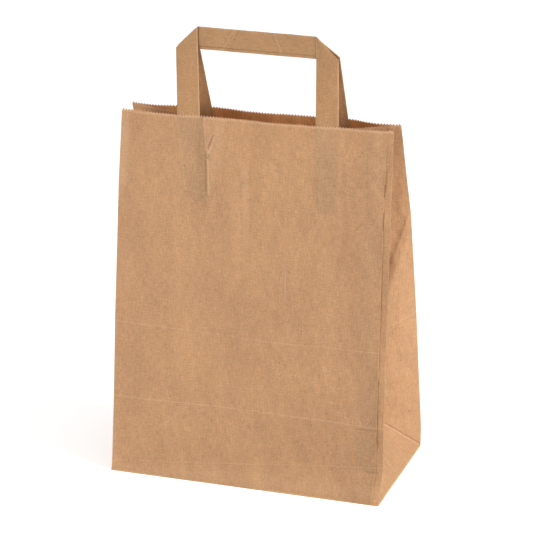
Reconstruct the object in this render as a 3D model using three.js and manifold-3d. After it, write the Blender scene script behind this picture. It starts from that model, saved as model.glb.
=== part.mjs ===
// A paper carrier bag, stood open on its base. The body is one kraft sheet, folded and glued into a tube
// with a gusset down each side and a block bottom. Two flat paper handles are glued inside its mouth.
// Millimetres, +Z up, origin under its middle on the base, front panel towards -Y.

import * as THREE from 'three';
import { mergeVertices } from 'three/addons/utils/BufferGeometryUtils.js';
import Module from 'manifold-3d';

const wasm = await Module();
wasm.setup();

// Driving dimensions of the sheet
const FACE_WIDTH = 260;
const GUSSET_DEPTH = 146;
const SIDE_HEIGHT = 347.5; // up the paper, from the base edge to the mouth's highest corner
const MOUTH_DROP = { frontLeft: 4.2, frontRight: 1, backRight: 1.1, backLeft: 0 }; // the cut isn't square
const PAPER = 0.25;
const FLAP_OVERLAP = 25; // of the two base flaps, along the middle of the base
const FLAP_RISE = 6; // stretch in which the covered flap rises to pass under the other
const SEAM_INSET = 6.5; // from the front right fold to the free edge of the glued seam
const SEAM_OVERLAP = 22;
const SEAM_STEP = 0.3; // stretch over which the surface drops from one layer to the next
const TOOTH_PITCH = 2.85;
const TOOTH_HEIGHT = 1;
const TOOTH_BAND = 4; // strip of the mouth that holds the teeth
const FOOT_LEFT = 10; // height of the slanting crease at the foot of the front panel
const FOOT_RIGHT = 31;

// Driving dimensions of the handles
const STRIP_WIDTH = 21;
const STRIP_PAPER = 1; // several plies, folded and glued
const HANDLE_WIDTH = 153;
const HANDLE_SHIFT = 2.1; // of the glued legs from the middle of their panel, to the right
const GLUED_LENGTH = 77; // of each leg, below the mouth
const FRONT_RISE = 83; // above the mouth, up the strip
const REAR_RISE = 88;
const FRONT_DRIFT = -1.9; // of the handle's top along X
const REAR_DRIFT = -4.2;
const REAR_TILT = 0.01; // slope of the rear handle's top edge
const GLUE_GAP = 0.3; // between a leg and its panel
const HANDLE_GAP = 0.6; // between the two handles where they meet
const MEETING_Y = -24; // where the handles meet at the top
const PLY_BITE = 0.05; // how far the cross strip sinks into the legs that it is folded from
const SETTLED = 0.9; // share of a leg's bare length above which it lies in the plane of the cross strip

// How the opened bag stands: shares of the half depth that each upright fold has come in from its base
// corner, at shares of the height
const LEAN = {
  frontLeft: [[0, 0], [0.03, 0.04], [0.21, 0.155], [0.42, 0.26], [0.6, 0.38], [0.8, 0.51], [1, 0.69]],
  frontRight: [[0, 0], [0.09, 0.2], [0.21, 0.235], [0.42, 0.35], [0.57, 0.45], [0.75, 0.59], [1, 0.795]],
  backRight: [[0, 0], [0.06, -0.01], [0.21, 0.11], [0.42, 0.25], [0.65, 0.435], [0.71, 0.475],
    [0.84, 0.67], [1, 0.885]],
  backLeft: [[0, 0], [0.06, 0.01], [0.21, 0.12], [0.42, 0.26], [0.65, 0.44], [0.71, 0.5],
    [0.84, 0.7], [1, 0.974]],
};
const SWAY_LEFT = 2; // drift of the mouth's corners along X
const SWAY_RIGHT = 6.8;

// Waves of the mouth, outwards, from left to right: at the left fold, between it and the left leg, at the
// leg's two edges, twice between the legs, and the same in mirror image up to the right fold
const FRONT_WAVE = [0, 4, 4.5, 1.5, 2.5, 5.5, 3.5, 1.5, 2, 0];
const BACK_WAVE = [0, -1.5, 0, 4, 1, 1, 2.5, 4, -1.5, 0];
const WAVE_FADE = 3; // power of the height by which the waves die out towards the base

// Divisions of the mesh
const FOOT_ROWS = 2;
const BASE_ROWS = 4; // from the foot crease up to the crease at half the gusset depth
const MID_ROWS = 5; // from there up to the crease at the full gusset depth
const TOP_ROWS = 12;
const SIDE_COLUMNS = 4; // of a panel, between a fold and the handle's leg
const MIDDLE_COLUMNS = 8; // between the legs
const CLIMB_STEPS = 172;
const MERGE = 1e-4; // corners nearer than this are one

const HALF_WIDTH = FACE_WIDTH / 2;
const HALF_DEPTH = GUSSET_DEPTH / 2;
const FLOOR_LAYERS = 3;
const FLOOR = FLOOR_LAYERS * PAPER;
const LEG_OUT = HANDLE_WIDTH / 2;
const LEG_IN = LEG_OUT - STRIP_WIDTH;

const { lerp, clamp } = THREE.MathUtils;

// Value at a place on the lines through [place, value] pairs, with rounded crests where ease is given
function between(pairs, at, ease = THREE.MathUtils.clamp) {
  let i = 1;
  while (i < pairs.length - 1 && at > pairs[i][0]) i += 1;
  const [[from, a], [to, b]] = [pairs[i - 1], pairs[i]];
  return lerp(a, b, ease((at - from) / (to - from), 0, 1));
}

// Height gained along a path whose plan is known, so that the paper keeps its length
function climb(plan, from, start) {
  const pitch = (SIDE_HEIGHT - from) / CLIMB_STEPS;
  const heights = [start];
  for (let i = 0; i < CLIMB_STEPS; i += 1) {
    const run = plan(from + i * pitch).distanceTo(plan(from + (i + 1) * pitch));
    heights.push(heights[i] + Math.sqrt(Math.max(pitch ** 2 - run ** 2, 0)));
  }
  return (v) => {
    const step = clamp((v - from) / pitch, 0, CLIMB_STEPS);
    const i = Math.min(Math.floor(step), CLIMB_STEPS - 1);
    return lerp(heights[i], heights[i + 1], step - i);
  };
}

// An upright fold at a corner of the base: side is -1 at the left, face is -1 at the front
function uprightFold(side, face, leans) {
  const sway = side < 0 ? (share) => SWAY_LEFT * share : (share) => SWAY_RIGHT * share ** 1.5;
  const plan = (v) => {
    const share = v / SIDE_HEIGHT;
    const y = face * HALF_DEPTH * (1 - between(leans, share));
    return new THREE.Vector2(side * HALF_WIDTH - sway(share), y);
  };
  const height = climb(plan, 0, 0);
  return (v) => {
    const { x, y } = plan(v);
    return new THREE.Vector3(x, y, height(v));
  };
}

const folds = {
  frontLeft: uprightFold(-1, -1, LEAN.frontLeft),
  frontRight: uprightFold(1, -1, LEAN.frontRight),
  backRight: uprightFold(1, 1, LEAN.backRight),
  backLeft: uprightFold(-1, 1, LEAN.backLeft),
};

// The middle crease of a gusset comes in as far as its two flat halves allow. Below half the gusset
// depth it is the middle of a flat triangle that stands on the base edge.
function middleCrease(side, front, back) {
  const depth = (v) => Math.sqrt(HALF_DEPTH ** 2 - ((back(v).y - front(v).y) / 2) ** 2);
  const plan = (v) => {
    const middle = front(v).add(back(v)).multiplyScalar(0.5);
    return new THREE.Vector2(middle.x - side * depth(v), middle.y);
  };
  const tip = plan(HALF_DEPTH);
  const foot = new THREE.Vector3(side * HALF_WIDTH, 0, 0);
  const apex = new THREE.Vector3(tip.x, tip.y, 0);
  apex.z = Math.sqrt(HALF_DEPTH ** 2 - apex.distanceTo(foot) ** 2);
  const height = climb(plan, HALF_DEPTH, apex.z);
  return (v) => {
    if (v <= HALF_DEPTH) return foot.clone().lerp(apex, v / HALF_DEPTH);
    const { x, y } = plan(v);
    return new THREE.Vector3(x, y, height(v));
  };
}

const creases = {
  right: middleCrease(1, folds.frontRight, folds.backRight),
  left: middleCrease(-1, folds.frontLeft, folds.backLeft),
};

// Places across a panel where its waves are given: the folds, and eight places that go with the legs
const beside = (HALF_WIDTH + LEG_OUT) / 2;
const wavePlaces = [beside, LEG_OUT, LEG_IN, LEG_IN / 3];
const inner = [...wavePlaces.map((x) => -x), ...[...wavePlaces].reverse()].map((x) => x + HANDLE_SHIFT);
const wavePairs = (waves) => [-HALF_WIDTH, ...inner, HALF_WIDTH].map((x, i) => [x, waves[i]]);

// A point of the front or back panel's outer surface, x along the base edge and v up the paper
function panelPoint(left, right, face, pairs, x, v) {
  const point = left(v).lerp(right(v), (x + HALF_WIDTH) / FACE_WIDTH);
  point.y += face * between(pairs, x, THREE.MathUtils.smoothstep) * (v / SIDE_HEIGHT) ** WAVE_FADE;
  return point;
}

const frontPairs = wavePairs(FRONT_WAVE);
const backPairs = wavePairs(BACK_WAVE);
const frontPoint = (x, v) => panelPoint(folds.frontLeft, folds.frontRight, -1, frontPairs, x, v);
const backPoint = (x, v) => panelPoint(folds.backLeft, folds.backRight, 1, backPairs, x, v);

// A point of a gusset half, s from its upright fold. A crease rises at 45 degrees from the base corner,
// and the paper below it belongs to the triangle on the base.
function gussetPoint(fold, crease, s, v) {
  if (v >= HALF_DEPTH) return fold(v).lerp(crease(v), s / HALF_DEPTH);
  const rising = crease(HALF_DEPTH).sub(fold(0)).multiplyScalar(v / HALF_DEPTH);
  if (s >= v) return fold(0).lerp(crease(0), (s - v) / HALF_DEPTH).add(rising);
  return fold(v).lerp(rising.add(fold(0)), s / v);
}

// Paper heights of the mesh rows at a place where the foot crease and the mouth have the given heights
function rowHeights(foot, mouth) {
  const rows = [];
  for (let i = 0; i < FOOT_ROWS; i += 1) rows.push((foot * i) / FOOT_ROWS);
  for (let i = 0; i < BASE_ROWS; i += 1) rows.push(lerp(foot, HALF_DEPTH, i / BASE_ROWS));
  for (let i = 0; i < MID_ROWS; i += 1) rows.push(lerp(HALF_DEPTH, GUSSET_DEPTH, i / MID_ROWS));
  for (let i = 0; i <= TOP_ROWS; i += 1) rows.push(lerp(GUSSET_DEPTH, mouth - TOOTH_BAND, i / TOP_ROWS));
  rows.push(mouth);
  return rows;
}

const ROWS = rowHeights(FOOT_LEFT, SIDE_HEIGHT).length;
const mouthAt = (corner) => SIDE_HEIGHT - MOUTH_DROP[corner];

// Rows at a place across a panel
function panelRows(x, left, right) {
  const share = (x + HALF_WIDTH) / FACE_WIDTH;
  return rowHeights(lerp(FOOT_LEFT, FOOT_RIGHT, share), lerp(mouthAt(left), mouthAt(right), share));
}

const frontRows = (x) => panelRows(x, 'frontLeft', 'frontRight');
const backRows = (x) => panelRows(x, 'backLeft', 'backRight');

// Columns of the mesh round the bag, anticlockwise from the front left fold. Each has the panel's paper
// width, its place along that width, and a function from row to point. outer and inner are the layers of
// paper between the nominal surface and the two faces of the sheet.
const columns = [];

function addColumn(panel, width, place, point, outer = 0, inner = 1) {
  columns.push({ panel, width, place, point, outer, inner });
}

// Places across a panel, from the left fold to an end. The legs are flat, so no column falls inside them.
function spread(end) {
  const part = (from, to, count) => Array.from({ length: count }, (_, i) => lerp(from, to, i / count));
  const [a, b, c, d] = [-LEG_OUT, -LEG_IN, LEG_IN, LEG_OUT].map((x) => x + HANDLE_SHIFT);
  return [
    ...part(-HALF_WIDTH, a, SIDE_COLUMNS), a,
    ...part(b, c, MIDDLE_COLUMNS), c,
    ...part(d, end, SIDE_COLUMNS),
  ];
}

function addFront() {
  const seam = HALF_WIDTH - SEAM_INSET;
  const tab = seam - SEAM_OVERLAP;
  const half = SEAM_STEP / 2;
  const places = spread(tab - half).map((x) => [x, 0, 1]);
  places.push([tab - half, 0, 1], [tab + half, 0, 2], [(tab + seam) / 2, 0, 2]);
  places.push([seam - half, 0, 2], [seam + half, 1, 2]);
  for (const [x, outer, inner] of places) {
    const rows = frontRows(x);
    addColumn(0, FACE_WIDTH, x + HALF_WIDTH, (row) => frontPoint(x, rows[row]), outer, inner);
  }
}

function addBack() {
  const places = [...spread(HALF_WIDTH).slice(1), HALF_WIDTH].reverse();
  for (const x of places) {
    const rows = backRows(x);
    addColumn(3, FACE_WIDTH, HALF_WIDTH - x, (row) => backPoint(x, rows[row]));
  }
}

// The columns of a half are spaced as its rows are, so that the 45 degree crease runs through corners.
// The mouth's height at the middle crease is the mean of those at the two folds beside it.
function addHalf(panel, corner, other, foot, crease, outwards) {
  const middle = (mouthAt(corner) + mouthAt(other)) / 2;
  const spacing = rowHeights(foot, middle).filter((v) => v <= HALF_DEPTH);
  const places = outwards ? spacing.map((v) => HALF_DEPTH - v).reverse() : spacing;
  for (const place of places.slice(0, -1)) {
    const s = outwards ? HALF_DEPTH - place : place;
    const rows = rowHeights(foot, lerp(mouthAt(corner), middle, s / HALF_DEPTH));
    addColumn(panel, HALF_DEPTH, place, (row) => gussetPoint(folds[corner], crease, s, rows[row]));
  }
}

addFront();
addHalf(1, 'frontRight', 'backRight', FOOT_RIGHT, creases.right, false);
addHalf(2, 'backRight', 'frontRight', FOOT_RIGHT, creases.right, true);
addBack();
addHalf(4, 'backLeft', 'frontLeft', FOOT_LEFT, creases.left, false);
addHalf(5, 'frontLeft', 'backLeft', FOOT_LEFT, creases.left, true);

const COLUMNS = columns.length;
const grid = columns.map((column) => Array.from({ length: ROWS }, (_, row) => column.point(row)));

// The two triangles of a mesh cell. Each is split along the 45 degree crease where one crosses it.
function cellTriangles(i, j) {
  const k = (i + 1) % COLUMNS;
  const falling = columns[i].panel === 2 || columns[i].panel === 5;
  return falling
    ? [[[i, j], [k, j], [i, j + 1]], [[k, j], [k, j + 1], [i, j + 1]]]
    : [[[i, j], [k, j], [k, j + 1]], [[i, j], [k, j + 1], [i, j + 1]]];
}

// Face normals round each corner of the mesh, with the floor's at the base
function cornerNormals() {
  const normals = columns.map(() => Array.from({ length: ROWS }, () => []));
  for (let i = 0; i < COLUMNS; i += 1) {
    for (let j = 0; j < ROWS - 1; j += 1) {
      for (const corners of cellTriangles(i, j)) {
        const [a, b, c] = corners.map(([u, v]) => grid[u][v]);
        const normal = new THREE.Triangle(a, b, c).getNormal(new THREE.Vector3());
        for (const [u, v] of corners) normals[u][v].push(normal);
      }
    }
  }
  return normals;
}

// Least squares for the step that brings a corner the given depth inside every face round it
function insideStep(normals, depth, floor) {
  const ease = 1e-4;
  const firm = 1e4; // weight that keeps a corner on the floor
  const rows = normals.map((n) => [n, -depth, 1]);
  if (floor !== null) rows.push([new THREE.Vector3(0, 0, 1), floor, firm]);
  const m = [ease, 0, 0, ease, 0, ease];
  const right = new THREE.Vector3();
  for (const [n, distance, weight] of rows) {
    [n.x * n.x, n.x * n.y, n.x * n.z, n.y * n.y, n.y * n.z, n.z * n.z].forEach((value, i) => {
      m[i] += value * weight;
    });
    right.addScaledVector(n, distance * weight);
  }
  return right.applyMatrix3(new THREE.Matrix3(m[0], m[1], m[2], m[1], m[3], m[4], m[2], m[4], m[5]).invert());
}

// The two faces of the sheet, outer then inner, with the same corners
function sheetFaces() {
  const normals = cornerNormals();
  return ['outer', 'inner'].map((face) => grid.map((points, i) => points.map((point, j) => {
    const layers = columns[i][face];
    const floor = face === 'inner' ? FLOOR : 0;
    if (layers === 0 && j > 0) return point.clone();
    return point.clone().add(insideStep(normals[i][j], layers * PAPER, j === 0 ? floor : null));
  })));
}

// Serrated mouth: each panel has a whole number of teeth, so a valley falls on every fold
function toothPlaces() {
  const places = [];
  for (let panel = 0; panel <= 5; panel += 1) {
    const { width } = columns.find((column) => column.panel === panel);
    const teeth = Math.round(width / TOOTH_PITCH);
    for (let i = 0; i < 2 * teeth; i += 1) {
      places.push({ panel, place: (width * i) / (2 * teeth), tip: i % 2 });
    }
  }
  return places;
}

// Place of a column or tooth round the whole mouth
const startOf = [0, 1, 1.5, 2.5, 3.5, 4].map((n) => n * FACE_WIDTH);
const roundTheMouth = ({ panel, place }) => startOf[panel] + place;

function toothPoint(face, tooth) {
  const at = roundTheMouth(tooth);
  let i = COLUMNS - 1;
  while (roundTheMouth(columns[i]) > at + MERGE) i -= 1;
  const column = columns[i];
  const next = columns[(i + 1) % COLUMNS];
  const end = next.panel === column.panel ? next.place : column.width;
  const across = (tooth.place - column.place) / (end - column.place);
  const up = tooth.tip ? 1 : 1 - TOOTH_HEIGHT / TOOTH_BAND;
  const k = (i + 1) % COLUMNS;
  const low = face[i][ROWS - 2].clone().lerp(face[k][ROWS - 2], across);
  const high = face[i][ROWS - 1].clone().lerp(face[k][ROWS - 1], across);
  return low.lerp(high, up);
}

// Strip of triangles between the last full row and the teeth
function toothStrip(teeth) {
  const triangles = [];
  let i = 0;
  let k = 0;
  while (i < COLUMNS || k < teeth.length) {
    const nextColumn = i + 1 < COLUMNS ? roundTheMouth(columns[i + 1]) : Infinity;
    const nextTooth = k + 1 < teeth.length ? roundTheMouth(teeth[k + 1]) : Infinity;
    const turn = i >= COLUMNS ? false : k >= teeth.length || nextColumn <= nextTooth;
    const [column, tooth] = [i % COLUMNS, k % teeth.length];
    if (turn) {
      triangles.push([['grid', column], ['grid', (i + 1) % COLUMNS], ['tooth', tooth]]);
      i += 1;
    } else {
      triangles.push([['grid', column], ['tooth', (k + 1) % teeth.length], ['tooth', tooth]]);
      k += 1;
    }
  }
  return triangles;
}

function geometryOf(triangles) {
  const places = triangles.flat().flatMap((p) => [p.x, p.y, p.z]);
  return new THREE.BufferGeometry().setAttribute('position', new THREE.Float32BufferAttribute(places, 3));
}

// Flat floor that closes a loop of points, facing up or down
function floorTriangles(loop, up) {
  const outline = loop.map((p) => new THREE.Vector2(p.x, p.y));
  return THREE.ShapeUtils.triangulateShape(outline, []).map((corners) => {
    const points = corners.map((i) => loop[i]);
    return up ? points : points.reverse();
  });
}

// The opened tube with a plain floor, before the base flaps are let in
function foldedSheet() {
  const teeth = toothPlaces();
  const strip = toothStrip(teeth);
  const triangles = [];
  const rims = [];
  sheetFaces().forEach((face, inside) => {
    const keep = (points) => triangles.push(inside ? [...points].reverse() : points);
    for (let i = 0; i < COLUMNS; i += 1) {
      for (let j = 0; j < ROWS - 2; j += 1) {
        for (const corners of cellTriangles(i, j)) keep(corners.map(([u, v]) => face[u][v]));
      }
    }
    const rim = teeth.map((tooth) => toothPoint(face, tooth));
    const stripPoint = ([kind, n]) => (kind === 'grid' ? face[n][ROWS - 2] : rim[n]);
    for (const corners of strip) keep(corners.map(stripPoint));
    triangles.push(...floorTriangles(face.map((points) => points[0]), inside === 1));
    rims.push(rim);
  });
  const [outer, inner] = rims;
  for (let i = 0; i < outer.length; i += 1) {
    const k = (i + 1) % outer.length;
    triangles.push([outer[i], outer[k], inner[k]], [outer[i], inner[k], inner[i]]);
  }
  return geometryOf(triangles);
}

function toSolid(geometry) {
  const bare = geometry.clone();
  bare.deleteAttribute('normal');
  bare.deleteAttribute('uv');
  const merged = mergeVertices(bare, MERGE);
  return new wasm.Manifold(new wasm.Mesh({
    numProp: 3,
    vertProperties: Float32Array.from(merged.attributes.position.array),
    triVerts: Uint32Array.from(merged.index.array),
  }));
}

function fromSolid(solid) {
  const mesh = solid.getMesh();
  const geometry = new THREE.BufferGeometry();
  geometry.setAttribute('position', new THREE.BufferAttribute(Float32Array.from(mesh.vertProperties), 3));
  geometry.setIndex([...mesh.triVerts]);
  return geometry;
}

// An upright block over a flat outline
function block(outline, low, high) {
  const shape = new THREE.Shape(outline.map(([x, y]) => new THREE.Vector2(x, y)));
  const geometry = new THREE.ExtrudeGeometry(shape, { depth: high - low, bevelEnabled: false });
  return toSolid(geometry.translate(0, 0, low));
}

// Block bottom. The gusset ends fold in first and show as a triangle at each side. The front flap folds
// over them, and the back flap laps over it along the middle.
function cutBaseFlaps(body) {
  const clear = 1; // how far a cut runs past what it removes
  const lap = FLAP_OVERLAP / 2;
  const tip = HALF_WIDTH - HALF_DEPTH; // where the 45 degree ends of the flaps meet at the sides
  const far = HALF_WIDTH + clear;
  const wide = HALF_DEPTH + clear;
  const front = HALF_DEPTH - 2 * PAPER;
  const slab = (x, from, to, low) => block([[-x, from], [x, from], [x, to], [-x, to]], low, FLOOR + clear);
  const cuts = [
    block([[tip, 0], [far, -wide], [far, wide]], -clear, 2 * PAPER),
    block([[-tip, 0], [-far, wide], [-far, -wide]], -clear, 2 * PAPER),
    block([[-tip - lap, -lap], [-tip - lap - FLAP_RISE, -lap - FLAP_RISE],
      [tip + lap + FLAP_RISE, -lap - FLAP_RISE], [tip + lap, -lap]], -clear, PAPER),
    slab(tip, -front, -lap - FLAP_RISE - clear, PAPER),
    slab(tip, -front, front, 2 * PAPER),
    slab(tip, lap, front, PAPER),
  ];
  return cuts.reduce((solid, cut) => solid.subtract(cut), body);
}

// A thin block bent through space: corner(a, b, c) for shares a across, b up and c through
function bentBlock(across, up, corner) {
  const at = (i, j, c) => corner(i / across, j / up, c);
  const triangles = [];
  const quad = (p, q, r, s) => triangles.push([p, q, r], [p, r, s]);
  for (let i = 0; i < across; i += 1) {
    for (let j = 0; j < up; j += 1) {
      quad(at(i, j, 0), at(i + 1, j, 0), at(i + 1, j + 1, 0), at(i, j + 1, 0));
      quad(at(i, j, 1), at(i, j + 1, 1), at(i + 1, j + 1, 1), at(i + 1, j, 1));
    }
    quad(at(i, 0, 0), at(i, 0, 1), at(i + 1, 0, 1), at(i + 1, 0, 0));
    quad(at(i, up, 0), at(i + 1, up, 0), at(i + 1, up, 1), at(i, up, 1));
  }
  for (let j = 0; j < up; j += 1) {
    quad(at(0, j, 0), at(0, j + 1, 0), at(0, j + 1, 1), at(0, j, 1));
    quad(at(across, j, 0), at(across, j, 1), at(across, j + 1, 1), at(across, j + 1, 0));
  }
  return geometryOf(triangles);
}

// The same triangles, facing the other way
function turned(geometry) {
  const { position } = geometry.attributes;
  for (let i = 0; i < position.count; i += 3) {
    const [b, c] = [i + 1, i + 2].map((n) => new THREE.Vector3().fromBufferAttribute(position, n));
    position.setXYZ(i + 1, ...c);
    position.setXYZ(i + 2, ...b);
  }
  return geometry;
}

// One handle: a strip folded at 45 degrees into two legs and a cross strip behind them. face is -1 at
// the front. point gives that panel's outer surface, and rows its mesh rows. drift and tilt move the top.
function handle(face, point, rows, rise, drift, tilt) {
  const small = 0.5;
  const bare = rise - STRIP_WIDTH;
  const settled = SETTLED * bare;
  const legRows = (side) => rows(side * (LEG_IN + LEG_OUT) / 2 + HANDLE_SHIFT);
  const mouth = (side) => legRows(side)[ROWS - 1];
  const behind = (x, v) => point(x + HANDLE_SHIFT, v);

  // The panel is flat under a leg, so one direction serves both of the leg's edges
  const inwards = (side, v) => {
    const low = Math.min(v, mouth(side) - small);
    const up = behind(side * LEG_IN, low + small).sub(behind(side * LEG_IN, low));
    const out = behind(side * LEG_OUT, low).sub(behind(side * LEG_IN, low));
    return out.cross(up).multiplyScalar(side * face).normalize();
  };
  const glued = (side, x, v, c) => behind(x, v).addScaledVector(inwards(side, v), PAPER + GLUE_GAP + c);
  const feet = [-1, 1].map((side) => {
    const [out, inner] = [LEG_OUT, LEG_IN].map((x) => glued(side, side * x, mouth(side), 0));
    return out.lerp(inner, 0.5);
  });
  const topY = MEETING_Y + face * (HANDLE_GAP / 2 + 2 * STRIP_PAPER);
  const middle = feet[0].clone().lerp(feet[1], 0.5);
  const topZ = middle.z + Math.sqrt(rise ** 2 - (topY - middle.y) ** 2);

  // The straight part above the mouth: x along the handle, up from the mouth, c through its plies
  const plane = (x, up, c) => {
    const start = feet[0].clone().lerp(feet[1], x / (LEG_IN + LEG_OUT) + 0.5);
    const point = start.lerp(new THREE.Vector3(x + drift, topY, topZ + tilt * x), up / rise);
    point.y -= face * c;
    return point;
  };
  const legPoint = (side, x, up, c) => {
    if (up <= 0) return glued(side, x, mouth(side) + up, c);
    const bend = glued(side, x, mouth(side), c).sub(plane(x, 0, c));
    return plane(x, up, c).addScaledVector(bend, Math.max(1 - up / settled, 0));
  };

  const leg = (side) => {
    const heights = legRows(side).map((v) => v - mouth(side)).filter((up) => up > -GLUED_LENGTH);
    const ups = [-GLUED_LENGTH, ...heights, settled / 2, settled];
    return bentBlock(1, ups.length, (a, b, c) => {
      const row = Math.round(b * ups.length);
      const inner = side < 0 ? a : 1 - a;
      const up = row < ups.length ? ups[row] : bare + STRIP_WIDTH * inner;
      return legPoint(side, side * lerp(LEG_OUT, LEG_IN, inner), up, c * STRIP_PAPER);
    });
  };
  const cross = bentBlock(2, 1, (a, b, c) => {
    const reach = LEG_OUT - STRIP_WIDTH * b;
    const ply = lerp(STRIP_PAPER - PLY_BITE, 2 * STRIP_PAPER, c);
    return plane(lerp(-reach, reach, a), bare + STRIP_WIDTH * b, ply);
  });
  const pieces = [leg(-1), leg(1), cross].map((piece) => toSolid(face < 0 ? piece : turned(piece)));
  return pieces.reduce((a, b) => a.add(b));
}

function paperMesh(name, solid, colour) {
  const material = new THREE.MeshStandardMaterial({ color: colour, roughness: 0.85, metalness: 0 });
  const mesh = new THREE.Mesh(fromSolid(solid), material);
  mesh.name = name;
  return mesh;
}

const bag = new THREE.Group();
bag.add(paperMesh('bag_body', cutBaseFlaps(toSolid(foldedSheet())), 0xc79b70));
const front = handle(-1, frontPoint, frontRows, FRONT_RISE, FRONT_DRIFT, 0);
const rear = handle(1, backPoint, backRows, REAR_RISE, REAR_DRIFT, REAR_TILT);
bag.add(paperMesh('front_handle', front, 0xbd9569));
bag.add(paperMesh('rear_handle', rear, 0xbd9569));

// The mouth has drifted a little, so the origin is set under the middle of the whole bag
const middle = new THREE.Box3().setFromObject(bag).getCenter(new THREE.Vector3());
bag.position.set(-middle.x, -middle.y, 0);

export default bag;
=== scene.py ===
import math

import bpy
import numpy as np
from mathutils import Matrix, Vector


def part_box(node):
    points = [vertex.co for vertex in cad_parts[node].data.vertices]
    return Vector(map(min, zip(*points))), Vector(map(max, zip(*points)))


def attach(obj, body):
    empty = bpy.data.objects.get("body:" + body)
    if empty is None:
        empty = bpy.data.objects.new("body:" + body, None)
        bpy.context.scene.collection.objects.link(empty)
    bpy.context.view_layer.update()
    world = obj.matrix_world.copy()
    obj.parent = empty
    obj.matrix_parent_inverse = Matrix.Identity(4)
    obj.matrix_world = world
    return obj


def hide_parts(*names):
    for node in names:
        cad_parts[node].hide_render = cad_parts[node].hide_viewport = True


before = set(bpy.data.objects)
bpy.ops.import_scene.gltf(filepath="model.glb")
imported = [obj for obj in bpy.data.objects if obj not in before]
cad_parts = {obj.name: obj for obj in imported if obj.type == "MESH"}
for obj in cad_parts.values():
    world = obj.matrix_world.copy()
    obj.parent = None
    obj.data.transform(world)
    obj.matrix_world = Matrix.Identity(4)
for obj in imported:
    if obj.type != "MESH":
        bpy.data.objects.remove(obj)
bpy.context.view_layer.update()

bl_info = {
    "name": "Paper carrier bag",
    "version": (1, 0, 0),
    "blender": (4, 5, 0),
    "location": "3D View > Sidebar > Paper bag",
    "description": "A kraft paper carrier bag with gusseted sides and flat folded handles",
    "category": "Add Mesh",
}

BODY_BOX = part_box("bag_body")
MM = 0.001


# Sizes and colours that a user would change

def linear(code):
    """Linear colour of an sRGB hex code."""
    parts = [int(code[i:i + 2], 16) / 255 for i in (0, 2, 4)]
    return tuple(c / 12.92 if c <= 0.04045 else ((c + 0.055) / 1.055) ** 2.4 for c in parts)


def number(name, description, default, **kind):
    return bpy.props.FloatProperty(name=name, description=description, default=default, **kind)


def length(name, description, default):
    return number(name, description, default, subtype="DISTANCE", unit="LENGTH")


def power(name, description, default):
    return number(name, description, default, unit="POWER")


def colour(name, description, code):
    return bpy.props.FloatVectorProperty(
        name=name, description=description, default=linear(code), subtype="COLOR", size=3)


class BagSizes(bpy.types.PropertyGroup):
    face_width: length("Face width", "Across the front panel at the base", 0.260)
    gusset_depth: length("Gusset depth", "From front to back at the base", 0.146)
    side_height: length("Side height", "Up the paper from the base edge to the mouth", 0.3475)
    paper: length("Paper", "Thickness of one layer of the sheet", 0.00016)
    tooth_pitch: length("Tooth pitch", "Spacing of the saw teeth of the mouth", 0.00285)
    tooth_height: length("Tooth height", "Depth of the saw teeth of the mouth", 0.0019)
    seam_inset: length("Seam inset", "From the front right fold to the seam's free edge", 0.0065)
    seam_overlap: length("Seam overlap", "Width of the glued seam", 0.022)
    flap_overlap: length("Flap overlap", "Lap of the two base flaps", 0.025)


class HandleSizes(bpy.types.PropertyGroup):
    strip_width: length("Strip width", "Width of the folded strip", 0.021)
    strip_paper: length("Strip thickness", "Thickness of all the strip's plies", 0.001)
    width: length("Handle width", "Over the two legs", 0.153)
    shift: length("Handle shift", "Of the glued legs from the middle of their panel", 0.0021)
    glued: length("Glued length", "Of each leg, below the mouth", 0.077)
    front_rise: length("Front rise", "Height of the front handle above the mouth, up the strip", 0.083)
    rear_rise: length("Rear rise", "Height of the rear handle above the mouth, up the strip", 0.088)
    front_drift: length("Front drift", "Of the front handle's top along X", -0.0019)
    rear_drift: length("Rear drift", "Of the rear handle's top along X", -0.0042)
    rear_tilt: number("Rear tilt", "Slope of the rear handle's top", 0.01)


class PaperLook(bpy.types.PropertyGroup):
    kraft: colour("Kraft", "Unbleached kraft sheet of the bag", "C99E74")
    # Inner side: partly the sheet's own unglazed tint, partly painted bounce light, lighter and warmer than
    # the kraft
    inside: colour("Inside", "Unglazed inner side of the sheet", "E6BC84")
    # Pale worn fibre along creases and cut edges; the same colour is also laid on as painted highlight on
    # some edges and bands
    pale: colour("Pale fibre", "Worn fibre along a crease or a cut edge", "E6C29C")
    # Painted shade: the dark colour laid into gaps under lifted edges, beside wrinkles and creases, and in
    # the handles' mitres
    shade: colour("Shade", "Gap under a lifted edge", "6E4727")
    strip: colour("Strip", "Kraft of the handles", "BF956A")
    shive: colour("Shive", "Bark flecks in the pulp", "6B4A30")


class StageLook(bpy.types.PropertyGroup):
    floor: colour("Floor", "Plain pale floor", "F2F2F1")
    floor_lift: number("Floor lift", "Glow of the floor to the camera", 0.38)
    key_power: power("Key", "Power of the key lamp", 70.0)
    fill_power: power("Fill", "Power of the fill lamp", 6.2)
    world: number("World", "Strength of the white surroundings", 0.6)


# How the opened bag stands: share of the half depth that each upright fold has come in from its base
# corner, at shares of the height
LEAN = {
    "front_left": [(0, 0), (0.03, 0.04), (0.21, 0.155), (0.42, 0.26), (0.6, 0.38), (0.8, 0.51), (1, 0.69)],
    "front_right": [(0, 0), (0.09, 0.2), (0.21, 0.235), (0.42, 0.35), (0.57, 0.45), (0.75, 0.59), (1, 0.795)],
    "back_right": [(0, 0), (0.06, -0.01), (0.21, 0.11), (0.42, 0.25), (0.65, 0.435), (0.71, 0.475),
                   (0.84, 0.67), (1, 0.885)],
    "back_left": [(0, 0), (0.06, 0.01), (0.21, 0.12), (0.42, 0.26), (0.65, 0.44), (0.71, 0.5), (0.84, 0.7),
                  (1, 0.974)],
}
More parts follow.
